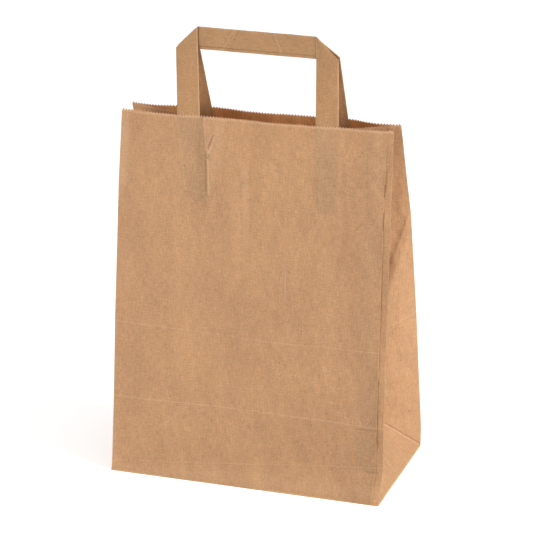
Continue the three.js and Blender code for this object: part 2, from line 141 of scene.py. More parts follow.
# How far the mouth's edge lies below the side height at each upright fold: the cut isn't square
MOUTH_DROP = {"front_left": 0.0042, "front_right": 0.001, "back_right": 0.0011, "back_left": 0.0}
# How far the mouth's ends lie inside the base corners, along X
SWAY_LEFT = 0.002
SWAY_RIGHT = 0.0068
# Height of the slanting crease at the foot of the front panel
FOOT_LEFT = 0.010
FOOT_RIGHT = 0.031
MEETING_Y = -0.024  # where the two handles meet, before the frame's shift
HANDLE_GAP = 0.0006  # between the two cross strips
# Slope of each glued leg: how far its lower end has swung to the right, per length
LEG_SLANT = {-1: 0.13, 1: 0.03}

# Waves of the mouth in millimetres, outwards, from the left fold to the right one
FRONT_WAVE = [0, 4, 4.5, 1.5, 2.5, 5.5, 3.5, 1.5, 2, 0]
BACK_WAVE = [0, -2.5, 0, 5, 2, 2, 3, 5, -1.5, 0]


def span(left, right, share):
    return left + (right - left) * share


def smooth_step(value):
    value = np.clip(value, 0, 1)
    return value * value * (3 - 2 * value)


def softened(values, reach):
    """The same samples with their corners rounded over a reach in samples."""
    bell = np.hanning(2 * reach + 3)[1:-1]
    before, after = 2 * values[0] - values[reach:0:-1], 2 * values[-1] - values[-2:-reach - 2:-1]
    padded = np.concatenate([before, values, after])
    return np.convolve(padded, bell / bell.sum(), mode="valid")


class Sheet:
    """Shape of the opened sheet: every point is found from its place on the flat paper."""

    SAMPLES = 689
    ROUNDING = 10

    def __init__(self, sizes, handles):
        self.sizes, self.handles = sizes, handles
        self.half_width = sizes.face_width / 2
        self.half_depth = sizes.gusset_depth / 2
        self.height = sizes.side_height
        self.shift_x = handles.shift
        self.leg_out = handles.width / 2
        self.leg_in = self.leg_out - handles.strip_width
        self.v = np.linspace(0, self.height, self.SAMPLES)
        self.shift = np.array([BODY_BOX[1][0] - self.half_width, BODY_BOX[0][1] + self.half_depth, 0])
        self.folds = {
            name: self.upright_fold(1 if "right" in name else -1, 1 if "back" in name else -1, pairs)
            for name, pairs in LEAN.items()
        }
        self.middles = {
            "right": self.middle_crease(1, self.folds["front_right"], self.folds["back_right"]),
            "left": self.middle_crease(-1, self.folds["front_left"], self.folds["back_left"]),
        }

    def climbed(self, x, y, start, first):
        """Adds the height that keeps the paper's length along a path of known plan."""
        run2 = np.diff(x) ** 2 + np.diff(y) ** 2
        rise = np.sqrt(np.maximum(np.diff(self.v) ** 2 - run2, 0))
        z = start + np.concatenate([[0], np.cumsum(rise)])
        z -= z[first] - start
        return np.stack([x, y, z])

    def upright_fold(self, side, face, pairs):
        share = self.v / self.height
        lean = softened(np.interp(share, *zip(*pairs)), self.ROUNDING)
        lean -= lean[0] * (1 - share) ** 8
        sway = SWAY_LEFT * share if side < 0 else SWAY_RIGHT * share ** 1.5
        return self.climbed(side * self.half_width - sway, face * self.half_depth * (1 - lean), 0, 0)

    def middle_crease(self, side, front, back):
        """A gusset's middle crease comes in as far as its two flat halves allow."""
        half = (back[1] - front[1]) / 2
        depth = np.sqrt(np.maximum(self.half_depth ** 2 - half ** 2, 0))
        x = (front[0] + back[0]) / 2 - side * depth
        y = (front[1] + back[1]) / 2
        first = int(np.searchsorted(self.v, self.half_depth))
        foot = np.array([side * self.half_width, 0])
        drop = np.hypot(x[first] - foot[0], y[first] - foot[1])
        apex = np.array([x[first], y[first], math.sqrt(self.half_depth ** 2 - drop ** 2)])
        path = self.climbed(x, y, apex[2], first)
        share = self.v[:first + 1] / self.v[first]
        path[:, :first + 1] = span(np.array([*foot, 0])[:, None], apex[:, None], share)
        return path

    def mouth(self, name, other, share):
        """Height of the mouth's edge between two folds."""
        return self.height - span(MOUTH_DROP[name], MOUTH_DROP[other], share)

    def at(self, path, v):
        return np.stack([np.interp(v, self.v, axis) for axis in path], axis=-1)

    def wave(self, values, x):
        places = [(self.half_width + self.leg_out) / 2, self.leg_out, self.leg_in, self.leg_in / 3]
        places = [p + self.shift_x for p in [-p for p in places] + places[::-1]]
        places = [-self.half_width, *places, self.half_width]
        i = np.clip(np.searchsorted(places, x) - 1, 0, len(places) - 2)
        places, values = np.array(places), np.array(values) * MM
        share = smooth_step((x - places[i]) / (places[i + 1] - places[i]))
        return span(values[i], values[i + 1], share)

    def panel(self, face, x, v):
        """A point of the front panel (face -1) or back panel (face 1), x across it and v up the paper."""
        x, v = np.broadcast_arrays(x, v)
        across = (x + self.half_width) / (2 * self.half_width)
        names = ("front_left", "front_right") if face < 0 else ("back_left", "back_right")
        v_left, v_right = v, v
        if face < 0:
            foot = span(FOOT_LEFT, FOOT_RIGHT, across)
            low = np.clip(v / foot, 0, 1)
            high = np.clip((v - foot) / (self.half_depth - foot), 0, 1)
            over = np.maximum(v - self.half_depth, 0)
            v_left = low * FOOT_LEFT + high * (self.half_depth - FOOT_LEFT) + over
            v_right = low * FOOT_RIGHT + high * (self.half_depth - FOOT_RIGHT) + over
        left = self.at(self.folds[names[0]], v_left)
        right = self.at(self.folds[names[1]], v_right)
        point = left + (right - left) * across[..., None]
        values = FRONT_WAVE if face < 0 else BACK_WAVE
        point[..., 1] += face * self.wave(values, x) * (v / self.height) ** 3
        return point + self.shift

    def gusset(self, side, face, s, v):
        """A point of a gusset half, s from its upright fold."""
        s, v = np.broadcast_arrays(s, v)
        name = ("front_" if face < 0 else "back_") + ("right" if side > 0 else "left")
        fold, middle = self.folds[name], self.middles["right" if side > 0 else "left"]
        corner = self.at(fold, 0.0)
        foot, apex = self.at(middle, 0.0), self.at(middle, self.half_depth)
        share = (v / self.half_depth)[..., None]
        along = (s / self.half_depth)[..., None]
        edge = self.at(fold, v)
        upper = span(edge, self.at(middle, v), along)
        under = corner + (foot - corner) * (along - share) + (apex - corner) * share
        diagonal = corner + (apex - corner) * share
        beside = span(edge, diagonal, along / np.maximum(share, 1e-9))
        low = np.where(along >= share, under, beside)
        return np.where(share >= 1, upper, low) + self.shift


# Relief of the paper, in metres along the outward normal

# How far each gusset half, front (-1) and back (1), bulges into the side fold, in millimetres
BULGE = {-1: 4.0, 1: 8.5}


def soft_noise(rng, x, v, size, waves=14):
    """Smooth random undulation of about the given size, between -1 and 1."""
    total = np.zeros(np.broadcast(x, v).shape)
    for _ in range(waves):
        angle = rng.uniform(0, math.pi)
        pitch = size * rng.uniform(0.7, 1.6)
        phase = rng.uniform(0, 2 * math.pi)
        total += np.sin(2 * math.pi * (x * math.cos(angle) + v * math.sin(angle)) / pitch + phase)
    return total / math.sqrt(waves)


def crumpled(seed, x, v, parts):
    """A sum of undulations: pairs of height in millimetres and size in metres."""
    rng = np.random.default_rng(seed)
    return sum(height * soft_noise(rng, x, v, size) for height, size in parts)


def ridge(x, v, start, end, width):
    """1 along a line on the paper, falling to 0 beside it and past its ends. Places in millimetres."""
    start, end = np.array(start) * MM, np.array(end) * MM
    line = end - start
    along = ((x - start[0]) * line[0] + (v - start[1]) * line[1]) / line.dot(line)
    near = np.clip(along, 0, 1)
    gap = np.hypot(x - start[0] - near * line[0], v - start[1] - near * line[1])
    taper = smooth_step(np.minimum(along, 1 - along) * 6 + 0.5)
    return np.exp(-(gap / (width * MM)) ** 2) * taper


def bump(x, v, centre, size, turn=0.0):
    """1 at the centre of a soft oval on the paper, falling to 0 round it."""
    dx, dv = x - centre[0] * MM, v - centre[1] * MM
    c, s = math.cos(math.radians(turn)), math.sin(math.radians(turn))
    return np.exp(-((dx * c + dv * s) / (size[0] * MM)) ** 2 - ((-dx * s + dv * c) / (size[1] * MM)) ** 2)


# Creases too fine for the mesh, and lines of painted light and shade, which the material draws: points in
# millimetres on the flat paper (from the front left fold round the bag, and up from the base edge), then
# width, height and wear and painted light. A value above 0 is pale worn fibre along a crease, and in places a
# painted highlight; below 0 it is painted shade, under lifted edges, beside wrinkles and along some creases.
CREASES_AND_PAINTED_LIGHT = [
    ([(0, 72.5), (150, 74.2), (260, 72.5)], 1.3, 0.16, 0.4),
    # Painted shade: a dark line below the crease at half the depth, near the seam
    ([(234, 69.8), (253, 70.6)], 1.0, -0.12, -0.35),
    ([(0, 144.8), (147, 141.8), (260, 143.3)], 1.3, 0.15, 0.3),
    ([(0, 9.4), (260, 35)], 1.6, 0.22, 0.2),
    ([(1, 7.8), (73, 72)], 2.2, 0.1, 0.16),
    ([(73.5, 141), (77.5, 84)], 2.0, 0.12, 0.12),
    ([(163, 208.8), (163.8, 181)], 1.0, 0.35, 0.7),
    ([(121, 300), (125, 228)], 6.0, 0.5, 0.25),
    # Wrinkle beside the left leg: bump, with painted highlight along its ridges and a broad painted highlight
    # to its right
    ([(80.5, 343), (84.8, 307)], 2.6, 1.5, 0.5),
    ([(91.2, 325.5), (85.2, 307.5), (88, 272)], 2.6, 1.6, 0.55),
    ([(95, 346), (93, 300)], 9.0, 0.7, 0.3),
    # Painted light: a broad pale band up the left edge, where the curved paper faces the light
    ([(4, 342), (5, 277)], 8.0, 0.0, 0.35),
    # Painted light: a broad pale band along the base, where the paper below the foot crease faces up
    ([(0, 2), (260, 12)], 11.0, 0.0, 0.17),
    # Painted shade on the dark side of the wrinkle
    ([(83.4, 303), (84.8, 276)], 1.6, -0.7, -0.3),
    ([(54.2, 343.8), (65.2, 274.5), (87, 272)], 1.8, 0.3, 0.22),
    ([(87, 272), (79.5, 266)], 1.5, 0.8, 0.4),
    # Painted shade: short dark marks
    ([(245.5, 30), (255.8, 30.4)], 0.9, 0.2, -0.35),
    ([(228.2, 254.3), (233.8, 260.2)], 0.9, 0.0, -0.45),
    # Painted shadow in the gaps under the seam's lifted free edge, in dashes along it
    ([(253.5, 297), (253.5, 286)], 0.7, 0.0, -0.9),
    ([(253.5, 272), (253.5, 256)], 0.7, 0.0, -0.9),
    ([(253.8, 236), (253.8, 184)], 0.6, 0.0, -0.45),
    ([(253.8, 119), (253.8, 58)], 0.6, 0.0, -0.65),
    ([(253.8, 346), (253.8, 2)], 0.5, 0.0, -0.2),
    ([(260, 0), (260, 347)], 0.9, 0.1, 0.8),
    ([(406, 0), (406, 347)], 0.7, 0.0, 0.4),
    ([(260, 0), (333, 73)], 1.3, 0.15, 0.35),
    ([(406, 0), (333, 73)], 1.3, 0.2, 0.6),
    # Painted shade beside the gusset's diagonal fold
    ([(406, 1.8), (334, 73.8)], 1.0, -0.2, -0.45),
    ([(323.2, 22.2), (330.2, 5.8)], 1.0, 0.2, 0.5),
    ([(260, 145), (406, 145), (812, 145)], 1.3, 0.2, 0.4),
    ([(260, 72.6), (812, 72.6)], 1.2, 0.15, 0.25),
    ([(405, 248), (385, 206)], 3.0, 0.25, 0.12),
    ([(666, 0), (739, 73), (812, 0)], 1.2, 0.2, 0.4),
]
# Broad swells that the mesh carries: start, end, width and height in millimetres from the panel's middle
FRONT_FOLDS = [
    ((-130, 73), (130, 72), 7.0, 0.35),
    ((-130, 145), (130, 145), 7.0, 0.3),
    ((-49, 343), (-46, 300), 4.5, 1.7),
    ((-46, 300), (-43, 262), 4.5, 1.0),
]
BACK_FOLDS = [
    ((-130, 73), (130, 73), 7.0, 0.35),
    ((-130, 145), (130, 146), 7.0, 0.3),
    ((40, 344), (34, 300), 4.5, 0.8),
]
FRONT_SWELLS = [
    ((-8, 232), (7, 26), 0, -1.6),
    ((-20, 250), (10, 40), 12, 1.2),
    ((8, 262), (10, 40), -8, 1.0),
    ((-52, 312), (3.4, 16), 4, -1.5),
    ((-95, 215), (16, 46), 24, 1.3),
    ((-70, 160), (34, 12), 0, 0.9),
    ((80, 215), (22, 60), -10, -1.0),
    ((60, 110), (40, 16), 4, 0.8),
    ((-30, 105), (46, 14), -3, -0.7),
    ((-100, 110), (14, 26), 30, 0.7),
]


IMPRINT = 0.35  # height in millimetres of a glued leg's outline in the panel before it
# Of each panel, front (-1) and back (1): seed, undulations, broad folds and soft dents
RELIEF = {
    -1: (11, [(0.9, 0.12), (0.28, 0.045), (0.10, 0.018)], FRONT_FOLDS, FRONT_SWELLS),
    1: (23, [(1.0, 0.12), (0.3, 0.045), (0.1, 0.018)], BACK_FOLDS, []),
}


def with_relief(surface, relief, turn, u, v, top):
    """Points of a surface moved along its outward normal."""
    step = 0.2 * MM
    du = surface(u + step, v) - surface(u - step, v)
    dv = surface(u, np.minimum(v + step, top)) - surface(u, np.maximum(v - step, 0))
    normal = np.cross(du, dv) * turn
    normal /= np.maximum(np.linalg.norm(normal, axis=-1, keepdims=True), 1e-12)
    return surface(u, v) + normal * relief[..., None]


def panel_surface(sheet, face, x, v):
    """The front or back panel as it really lies, with its relief."""
    seed, undulations, folds, swells = RELIEF[face]
    total = crumpled(seed, x, v, undulations)
    for start, end, width, size in folds:
        total += size * ridge(x, v, start, end, width)
    for centre, size, turn, depth in swells:
        total += depth * bump(x, v, centre, size, turn)
    total += leg_print(sheet, x, v) * IMPRINT
    if face < 0:
        total += seam_relief(sheet, x, v)
    relief = total * MM * edge_fade(sheet, x, v)
    return with_relief(lambda a, b: sheet.panel(face, a, b), relief, -face, x, v, sheet.height)


def seam_relief(sheet, x, v):
    """The seam's free edge, lifted here and there, and the step of the layer under it, in millimetres."""
    past = x - sheet.half_width + sheet.sizes.seam_inset
    lift = np.clip(0.25 + crumpled(5, 0 * v, v, [(0.45, 0.035), (0.25, 0.012)]), 0.05, 1.1)
    step = 0.25 * smooth_step((past + sheet.sizes.seam_overlap) / (1.5 * MM)) * (past <= 0)
    return np.where(past <= 0, lift * np.exp(past / (2.6 * MM)), -0.3) + step


def leg_print(sheet, x, v):
    """1 where a handle's leg is glued behind the paper."""
    middle = (sheet.leg_out + sheet.leg_in) / 2
    half = sheet.handles.strip_width / 2
    below = np.maximum(sheet.height - 0.003 - v, 0)
    total = smooth_step((sheet.handles.glued - below) / (1.8 * MM) + 0.5)
    gap = [np.abs(x - sheet.shift_x - side * middle - LEG_SLANT[side] * below) for side in (-1, 1)]
    return total * smooth_step((half - np.minimum(*gap)) / (1.6 * MM) + 0.5)


def backed(sheet, face, x, v):
    """1 where the sheet has another layer glued behind it."""
    legs = leg_print(sheet, x, v)
    if face > 0:
        return legs
    edge = sheet.half_width - sheet.sizes.seam_inset
    seam = smooth_step((x - edge + sheet.sizes.seam_overlap) / (5 * MM)) * (x < edge) * (v > 0.03)
    return np.maximum(0.95 * legs, seam * (0.5 + 0.5 * smooth_step((0.122 - v) / (6 * MM))))


def edge_fade(sheet, x, v):
    """Relief dies out at the upright folds and at the base edge, where the paper is held."""
    side = smooth_step((sheet.half_width - np.abs(x)) / (5 * MM))
    return side * smooth_step(v / (6 * MM))


def gusset_relief(sheet, side, face, s, v):
    """A gusset half bulges into the side fold up to the bend of the back panel, and is crumpled."""
    x = face * s
    shape = np.sin(math.pi * np.clip(s / sheet.half_depth, 0, 1))
    bend = sheet.height * 0.71 - s * 1.9
    swell = smooth_step((v - sheet.half_depth * 0.9) / 0.07) * smooth_step((bend - v) / 0.03 + 0.5)
    total = BULGE[face] * shape * swell
    total += shape * crumpled(31 + 2 * side + face, x, v, [(0.5, 0.09), (0.22, 0.03)])
    total += 0.35 * ridge(s, v, (0, 146), (73, 146), 6.0)
    return total * MM * smooth_step(s / (4 * MM)) * smooth_step((sheet.half_depth - s) / (3 * MM))


# Mesh building

def make_object(name, points, faces):
    mesh = bpy.data.meshes.new(name)
    mesh.from_pydata([tuple(p) for p in points], [], faces)
    mesh.validate()
    mesh.update()
    made = bpy.data.objects.new(name, mesh)
    bpy.context.collection.objects.link(made)
    return made


def shade(made, angle):
    mesh = made.data
    mesh.polygons.foreach_set("use_smooth", [True] * len(mesh.polygons))
    mesh.set_sharp_from_angle(angle=math.radians(angle))


def corner_normals(points, faces_of):
    """Mean unit normal of the faces round each point, left unnormalised: it is short at a sharp fold."""
    total = np.zeros_like(points)
    count = np.zeros(len(points))
    for corners in faces_of:
        a, b, c = points[corners[:, 0]], points[corners[:, 1]], points[corners[:, 2]]
        if corners.shape[1] == 4:
            normal = np.cross(c - a, points[corners[:, 3]] - b)
        else:
            normal = np.cross(b - a, c - a)
        normal /= np.maximum(np.linalg.norm(normal, axis=1, keepdims=True), 1e-12)
        for k in range(corners.shape[1]):
            np.add.at(total, corners[:, k], normal)
            np.add.at(count, corners[:, k], 1)
    return total / np.maximum(count, 1)[:, None]


class Columns:
    """Columns of the fine mesh round the bag, anticlockwise from the front left fold."""

    SEAM_STEP = 0.15 * MM  # half the width of the step at the seam's free edge

    def __init__(self, sheet):
        width, half, pitch = sheet.sizes.face_width, sheet.half_depth, sheet.sizes.tooth_pitch
        cells = round(width / pitch)
        self.half_cells = round(half / pitch)
        self.seam_edge = sheet.half_width - sheet.sizes.seam_inset
        face = np.arange(cells) / cells * width - sheet.half_width
        near = int(np.argmin(np.abs(face - self.seam_edge)))
        face_front = face.copy()
        face_front[near] = self.seam_edge - self.SEAM_STEP
        face_front[near + 1] = self.seam_edge + self.SEAM_STEP
        out = np.arange(self.half_cells) / self.half_cells * half
        self.panels = [
            ("front", face_front), ("right_front", out), ("right_back", half - out),
            ("back", -face), ("left_back", out), ("left_front", half - out),
        ]


def row_heights(sheet, columns):
    """Rows are as far apart as the gusset's columns up to the crease at half its depth."""
    sizes = sheet.sizes
    low = np.arange(columns.half_cells) / columns.half_cells * sheet.half_depth
    mid = sheet.half_depth + low
    count = round((sheet.height - sizes.tooth_height * 2 - 2 * sheet.half_depth) / sizes.tooth_pitch)
    top = np.linspace(2 * sheet.half_depth, sheet.height - 2 * sizes.tooth_height, count + 1)
    return np.concatenate([low, mid, top, [sheet.height]])


def sheet_grid(sheet):
    """Points of the outer surface, how far they are backed, flat paper places, and each column's panel."""
    columns = Columns(sheet)
    rows = row_heights(sheet, columns)
    points, doubled, paper, owner = [], [], [], []
    full = 2 * sheet.half_depth
    start = 0.0
    for panel, (name, places) in enumerate(columns.panels):
        at, v = np.meshgrid(places, rows, indexing="ij")
        if name in ("front", "back"):
            across = (at + sheet.half_width) / (2 * sheet.half_width)
            mouth = sheet.mouth(f"{name}_left", f"{name}_right", across)
        else:
            side, end = name.split("_")
            other = "back" if end == "front" else "front"
            mouth = sheet.mouth(f"{end}_{side}", f"{other}_{side}", at / sheet.half_depth / 2)
        v = np.where(v > full, full + (v - full) * (mouth - full) / (sheet.height - full), v)
        if name in ("front", "back"):
            face = -1 if name == "front" else 1
            points.append(panel_surface(sheet, face, at, v))
            doubled.append(backed(sheet, face, at, v))
            flat = at + sheet.half_width if face < 0 else sheet.half_width - at
            width = 2 * sheet.half_width
        else:
            sign, face = (1 if side == "right" else -1), (-1 if end == "front" else 1)
            turn = 1 if (sign > 0) == (face < 0) else -1
            relief = gusset_relief(sheet, sign, face, at, v)

            def surface(a, b, sign=sign, face=face):
                return sheet.gusset(sign, face, a, b)
            points.append(with_relief(surface, relief, turn, at, v, sheet.height))
            doubled.append(np.zeros_like(at))
            flat = at if turn > 0 else sheet.half_depth - at
            width = sheet.half_depth
        paper.append(np.stack([start + flat, v], axis=-1))
        owner += [panel] * len(places)
        start += width
    return np.concatenate(points), np.concatenate(doubled), np.concatenate(paper), owner, columns


def sheet_faces(count, rows, owner, half_cells):
    """Cells of one surface: quads, and triangles where a 45 degree crease crosses a cell."""
    quads, triangles, tops = [], [], []
    first = {panel: owner.index(panel) for panel in range(6)}
    for i in range(count):
        k = (i + 1) % count
        panel, place = owner[i], i - first[owner[i]]
        for j in range(rows - 2):
            a, b, c, d = i * rows + j, k * rows + j, k * rows + j + 1, i * rows + j + 1
            if panel in (1, 4) and place == j and j < half_cells:
                triangles += [(a, b, c), (a, c, d)]
            elif panel in (2, 5) and half_cells - 1 - place == j:
                triangles += [(a, b, d), (b, c, d)]
            else:
                quads.append((a, b, c, d))
        tops.append((i * rows + rows - 2, k * rows + rows - 2, k * rows + rows - 1, i * rows + rows - 1))
    return np.array(quads), np.array(triangles), tops


# Least length of a mean normal, so that the inner face keeps near the outer one at a sharp fold
SHARPEST = 0.075


def build_body(sheet):
    """The folded sheet, outer and inner face, with a tip between every two columns of the mouth."""
    sizes = sheet.sizes
    grid, doubled, paper, owner, columns = sheet_grid(sheet)
    count, rows = grid.shape[:2]
    outer = grid.reshape(-1, 3)
    quads, triangles, tops = sheet_faces(count, rows, owner, columns.half_cells)
    mean = corner_normals(outer, [quads, triangles, np.array(tops)])
    size = np.linalg.norm(mean, axis=1, keepdims=True)
    thick = np.full(count, sizes.paper)
    front = columns.panels[0][1]
    thick[:len(front)][(front > columns.seam_edge - sizes.seam_overlap) & (front < columns.seam_edge)] *= 2
    reach = np.repeat(thick, rows)[:, None] / np.maximum(size, SHARPEST)
    inner = outer - mean / np.maximum(size, 1e-9) * reach
    inner = inner.reshape(count, rows, 3)
    inner[:, 0, 2] = 3 * sizes.paper
    inner = inner.reshape(-1, 3)
    nodes = count * rows

    points = [outer, inner]
    valley = np.zeros(nodes * 2 + count * 2)
    faces = quads.tolist() + triangles.tolist()
    faces += [[n + nodes for n in reversed(face)] for face in faces]
    tips, flats = [], []
    for i in range(count):
        k = (i + 1) % count
        a, b, c, d = tops[i]
        tip = 2 * nodes + i
        faces += [(a, b, tip), (a, tip, d), (b, c, tip)]
        inside = tip + count
        faces += [(b + nodes, a + nodes, inside), (a + nodes, d + nodes, inside)]
        faces += [(c + nodes, b + nodes, inside)]
        faces += [(d, tip, inside, d + nodes), (tip, c, c + nodes, inside)]
        tips.append((outer[d] + outer[c]) / 2)
        flats.append(paper.reshape(-1, 2)[d] + (0.5 * sizes.tooth_pitch, 0))
        valley[[d, d + nodes]] = 1
        low, high = i * rows, k * rows
        faces.append((high, low, low + nodes, high + nodes))
    points += [np.array(tips), np.array([(inner[top[3]] + inner[top[2]]) / 2 for top in tops])]
    points = np.concatenate(points)
    points[:, 2] = np.maximum(points[:, 2], 0)

    flat = np.concatenate([paper.reshape(-1, 2)] * 2 + [np.array(flats)] * 2)
    behind = np.concatenate([doubled.reshape(-1)] * 2 + [doubled[:, -1]] * 2)
    inside = np.concatenate([np.zeros(nodes), np.ones(nodes), np.zeros(count), np.ones(count)])
    cut = np.zeros(len(points))
    cut[2 * nodes:] = 1
    cut[np.arange(count) * rows + rows - 1] = 1
    down = np.zeros_like(points)
    for offset in (0, nodes):
        top = np.arange(count) * rows + rows - 1 + offset
        step = points[top - 1] - points[top]
        down[top] = step / np.linalg.norm(step, axis=1, keepdims=True)
    made = make_object("bag_sheet", points, faces)
    mesh = made.data
    for name, values in (("valley", valley), ("backed", behind), ("inside", inside), ("cut", cut)):
        mesh.attributes.new(name, "FLOAT", "POINT").data.foreach_set("value", values)
    mesh.attributes.new("down", "FLOAT_VECTOR", "POINT").data.foreach_set("vector", down.ravel())
    lay_flat(made, flat, sheet)
    return made


def lay_flat(made, flat, sheet):
    """UV map that holds each corner's place on the flat paper, in metres."""
    mesh = made.data
    layer = mesh.uv_layers.new(name="paper")
    around = 4 * (sheet.half_width + sheet.half_depth)
    loops = np.empty(len(mesh.loops), dtype=int)
    mesh.loops.foreach_get("vertex_index", loops)
    places = flat[loops].copy()
    for polygon in mesh.polygons:
        at = slice(polygon.loop_start, polygon.loop_start + polygon.loop_total)
        if places[at, 0].max() - places[at, 0].min() > around / 2:
            places[at, 0] += around * (places[at, 0] < around / 2)
    layer.data.foreach_set("uv", places.ravel())


def write_uv(made, places):
    layer = made.data.uv_layers.new(name="paper")
    for corner in made.data.loops:
        layer.data[corner.index].uv = places[corner.vertex_index]


# Base flaps

def plate(outline, low, high):
    """A flat closed plate over an outline."""
    n = len(outline)
    points = [(x, y, low) for x, y in outline] + [(x, y, high) for x, y in outline]
    faces = [tuple(range(n))[::-1], tuple(range(n, 2 * n))]
    faces += [(i, (i + 1) % n, n + (i + 1) % n, n + i) for i in range(n)]
    return points, faces


FLAP_PLACE = (0.13, 0.6)  # of the base flaps on the paper map, past the sheet


def build_base(sheet):
    """Layers of the block bottom: lapped flaps below, and the folded-in gusset ends above them."""
    lap = sheet.sizes.flap_overlap / 2
    inset = 0.3 * MM
    tip = sheet.half_width - sheet.half_depth
    wide, deep = sheet.half_width - inset, sheet.half_depth - inset
    t = sheet.sizes.paper
    rise = 6 * MM
    step = [(tip + lap + rise, -lap - rise), (-tip - lap - rise, -lap - rise)]
    layers = [
        plate([(-wide, deep), (-tip + lap, -lap), (tip - lap, -lap), (wide, deep)], 0.0, t),
        plate([(wide, -deep), *step, (-wide, -deep)], 0.0, t),
        plate([step[0], (tip - lap, lap), (-tip + lap, lap), step[1]], t, 2 * t),
        plate([(wide, -deep), (wide, deep), (tip, deep), (tip, -deep)], 2 * t, 3 * t),
        plate([(-wide, deep), (-wide, -deep), (-tip, -deep), (-tip, deep)], 2 * t, 3 * t),
    ]
    points, faces = [], []
    for some, more in layers:
        base = len(points)
        points += [(x + sheet.shift[0], y + sheet.shift[1], z) for x, y, z in some]
        faces += [tuple(base + n for n in face) for face in more]
    made = make_object("base_flaps", points, faces)
    write_uv(made, np.array([p[:2] for p in points]) + FLAP_PLACE)
    return made


# Nodes

def add_node(tree, kind, inputs=None, **settings):
    """Adds a node, sets its properties, and sets or links its inputs."""
    node = tree.nodes.new(kind)
    for name, value in settings.items():
        setattr(node, name, value)
    for name, value in (inputs or {}).items():
        if isinstance(value, bpy.types.NodeSocket):
            tree.links.new(value, node.inputs[name])
        else:
            node.inputs[name].default_value = value
    return node


def put(tree, kind, inputs=None, **settings):
    """Adds a node and gives its first output."""
    return add_node(tree, kind, inputs, **settings).outputs[0]


def arithmetic(tree, operation, a, b, clamp=False):
    return put(tree, "ShaderNodeMath", {0: a, 1: b}, operation=operation, use_clamp=clamp)


def add_socket(tree, name, kind, way="INPUT"):
    return tree.interface.new_socket(name, in_out=way, socket_type=f"NodeSocket{kind}")


def empty_tree(owner):
    owner.use_nodes = True
    owner.node_tree.nodes.clear()
    return owner.node_tree


def seen_straight(tree):
    """1 where the camera or a reflection looks, and 0 for the light that others send."""
    rays = add_node(tree, "ShaderNodeLightPath").outputs
    return arithmetic(tree, "MAXIMUM", rays["Is Camera Ray"], rays["Is Glossy Ray"])


def tooth_tree(material):
    """Cuts the saw teeth of the mouth: marked points sink down the sheet by the tooth height."""
    tree = bpy.data.node_groups.new("saw_tooth_mouth", "GeometryNodeTree")
    add_socket(tree, "Geometry", "Geometry")
    height = add_socket(tree, "Tooth height", "Float")
    add_socket(tree, "Geometry", "Geometry", "OUTPUT")
    start = add_node(tree, "NodeGroupInput").outputs

    def attribute(name, kind):
        node = add_node(tree, "GeometryNodeInputNamedAttribute", {"Name": name}, data_type=kind)
        return node.outputs["Attribute"]

    sink = arithmetic(tree, "MULTIPLY", attribute("valley", "FLOAT"), start["Tooth height"])
    step = put(tree, "ShaderNodeVectorMath", {
        "Vector": attribute("down", "FLOAT_VECTOR"), "Scale": sink}, operation="SCALE")
    moved = put(tree, "GeometryNodeSetPosition", {"Geometry": start["Geometry"], "Offset": step})
    real = put(tree, "GeometryNodeRealizeInstances", {"Geometry": moved})
    painted = put(tree, "GeometryNodeSetMaterial", {"Geometry": real, "Material": material})
    add_node(tree, "NodeGroupOutput", {"Geometry": painted})
    return tree, height.identifier


def apply_tree(made, tree, values):
    """Runs a Geometry Nodes tree on an object and keeps its result as a plain mesh."""
    modifier = made.modifiers.new(tree.name, "NODES")
    modifier.node_group = tree
    for identifier, value in values.items():
        modifier[identifier] = value
    graph = bpy.context.evaluated_depsgraph_get()
    result = bpy.data.meshes.new_from_object(made.evaluated_get(graph), depsgraph=graph)
    made.modifiers.remove(modifier)
    made.data = result
    result.name = made.name


# Materials

def crease_and_light_tree():
    """Adds one straight line to a running sum, whose x is height and whose y is wear and painted light: pale
    worn fibre and painted highlight above 0, painted shade below 0.
    """
    tree = bpy.data.node_groups.new("paper_crease_and_painted_light", "ShaderNodeTree")
    for name in ("Sum", "Place", "Start", "End"):
        add_socket(tree, name, "Vector")
    for name in ("Width", "Height", "Wear and painted light"):
        add_socket(tree, name, "Float")
    add_socket(tree, "Sum", "Vector", "OUTPUT")
    given = add_node(tree, "NodeGroupInput").outputs

    def vector(operation, output, *inputs):
        node = add_node(tree, "ShaderNodeVectorMath", dict(enumerate(inputs)), operation=operation)
        return node.outputs[output]

    def scaled(of, by):
        return put(tree, "ShaderNodeVectorMath", {"Vector": of, "Scale": by}, operation="SCALE")

    line = vector("SUBTRACT", "Vector", given["End"], given["Start"])
    away = vector("SUBTRACT", "Vector", given["Place"], given["Start"])
    share = vector("DOT_PRODUCT", "Value", away, line)
    # Two nodes hold the share between 0 and 1, in place of a clamp option here
    for operation, value in (("DIVIDE", vector("DOT_PRODUCT", "Value", line, line)), ("MAXIMUM", 0.0),
                             ("MINIMUM", 1.0)):
        share = arithmetic(tree, operation, share, value)
    gap = vector("DISTANCE", "Value", away, scaled(line, share))
    fall = put(tree, "ShaderNodeMapRange", {
        "Value": gap, "From Max": given["Width"], "To Min": 1.0, "To Max": 0.0,
    }, interpolation_type="SMOOTHERSTEP")
    step = put(tree, "ShaderNodeCombineXYZ", {"X": given["Height"], "Y": given["Wear and painted light"]})
    total = vector("ADD", "Vector", given["Sum"], scaled(step, fall))
    add_node(tree, "NodeGroupOutput", {"Sum": total})
    return tree


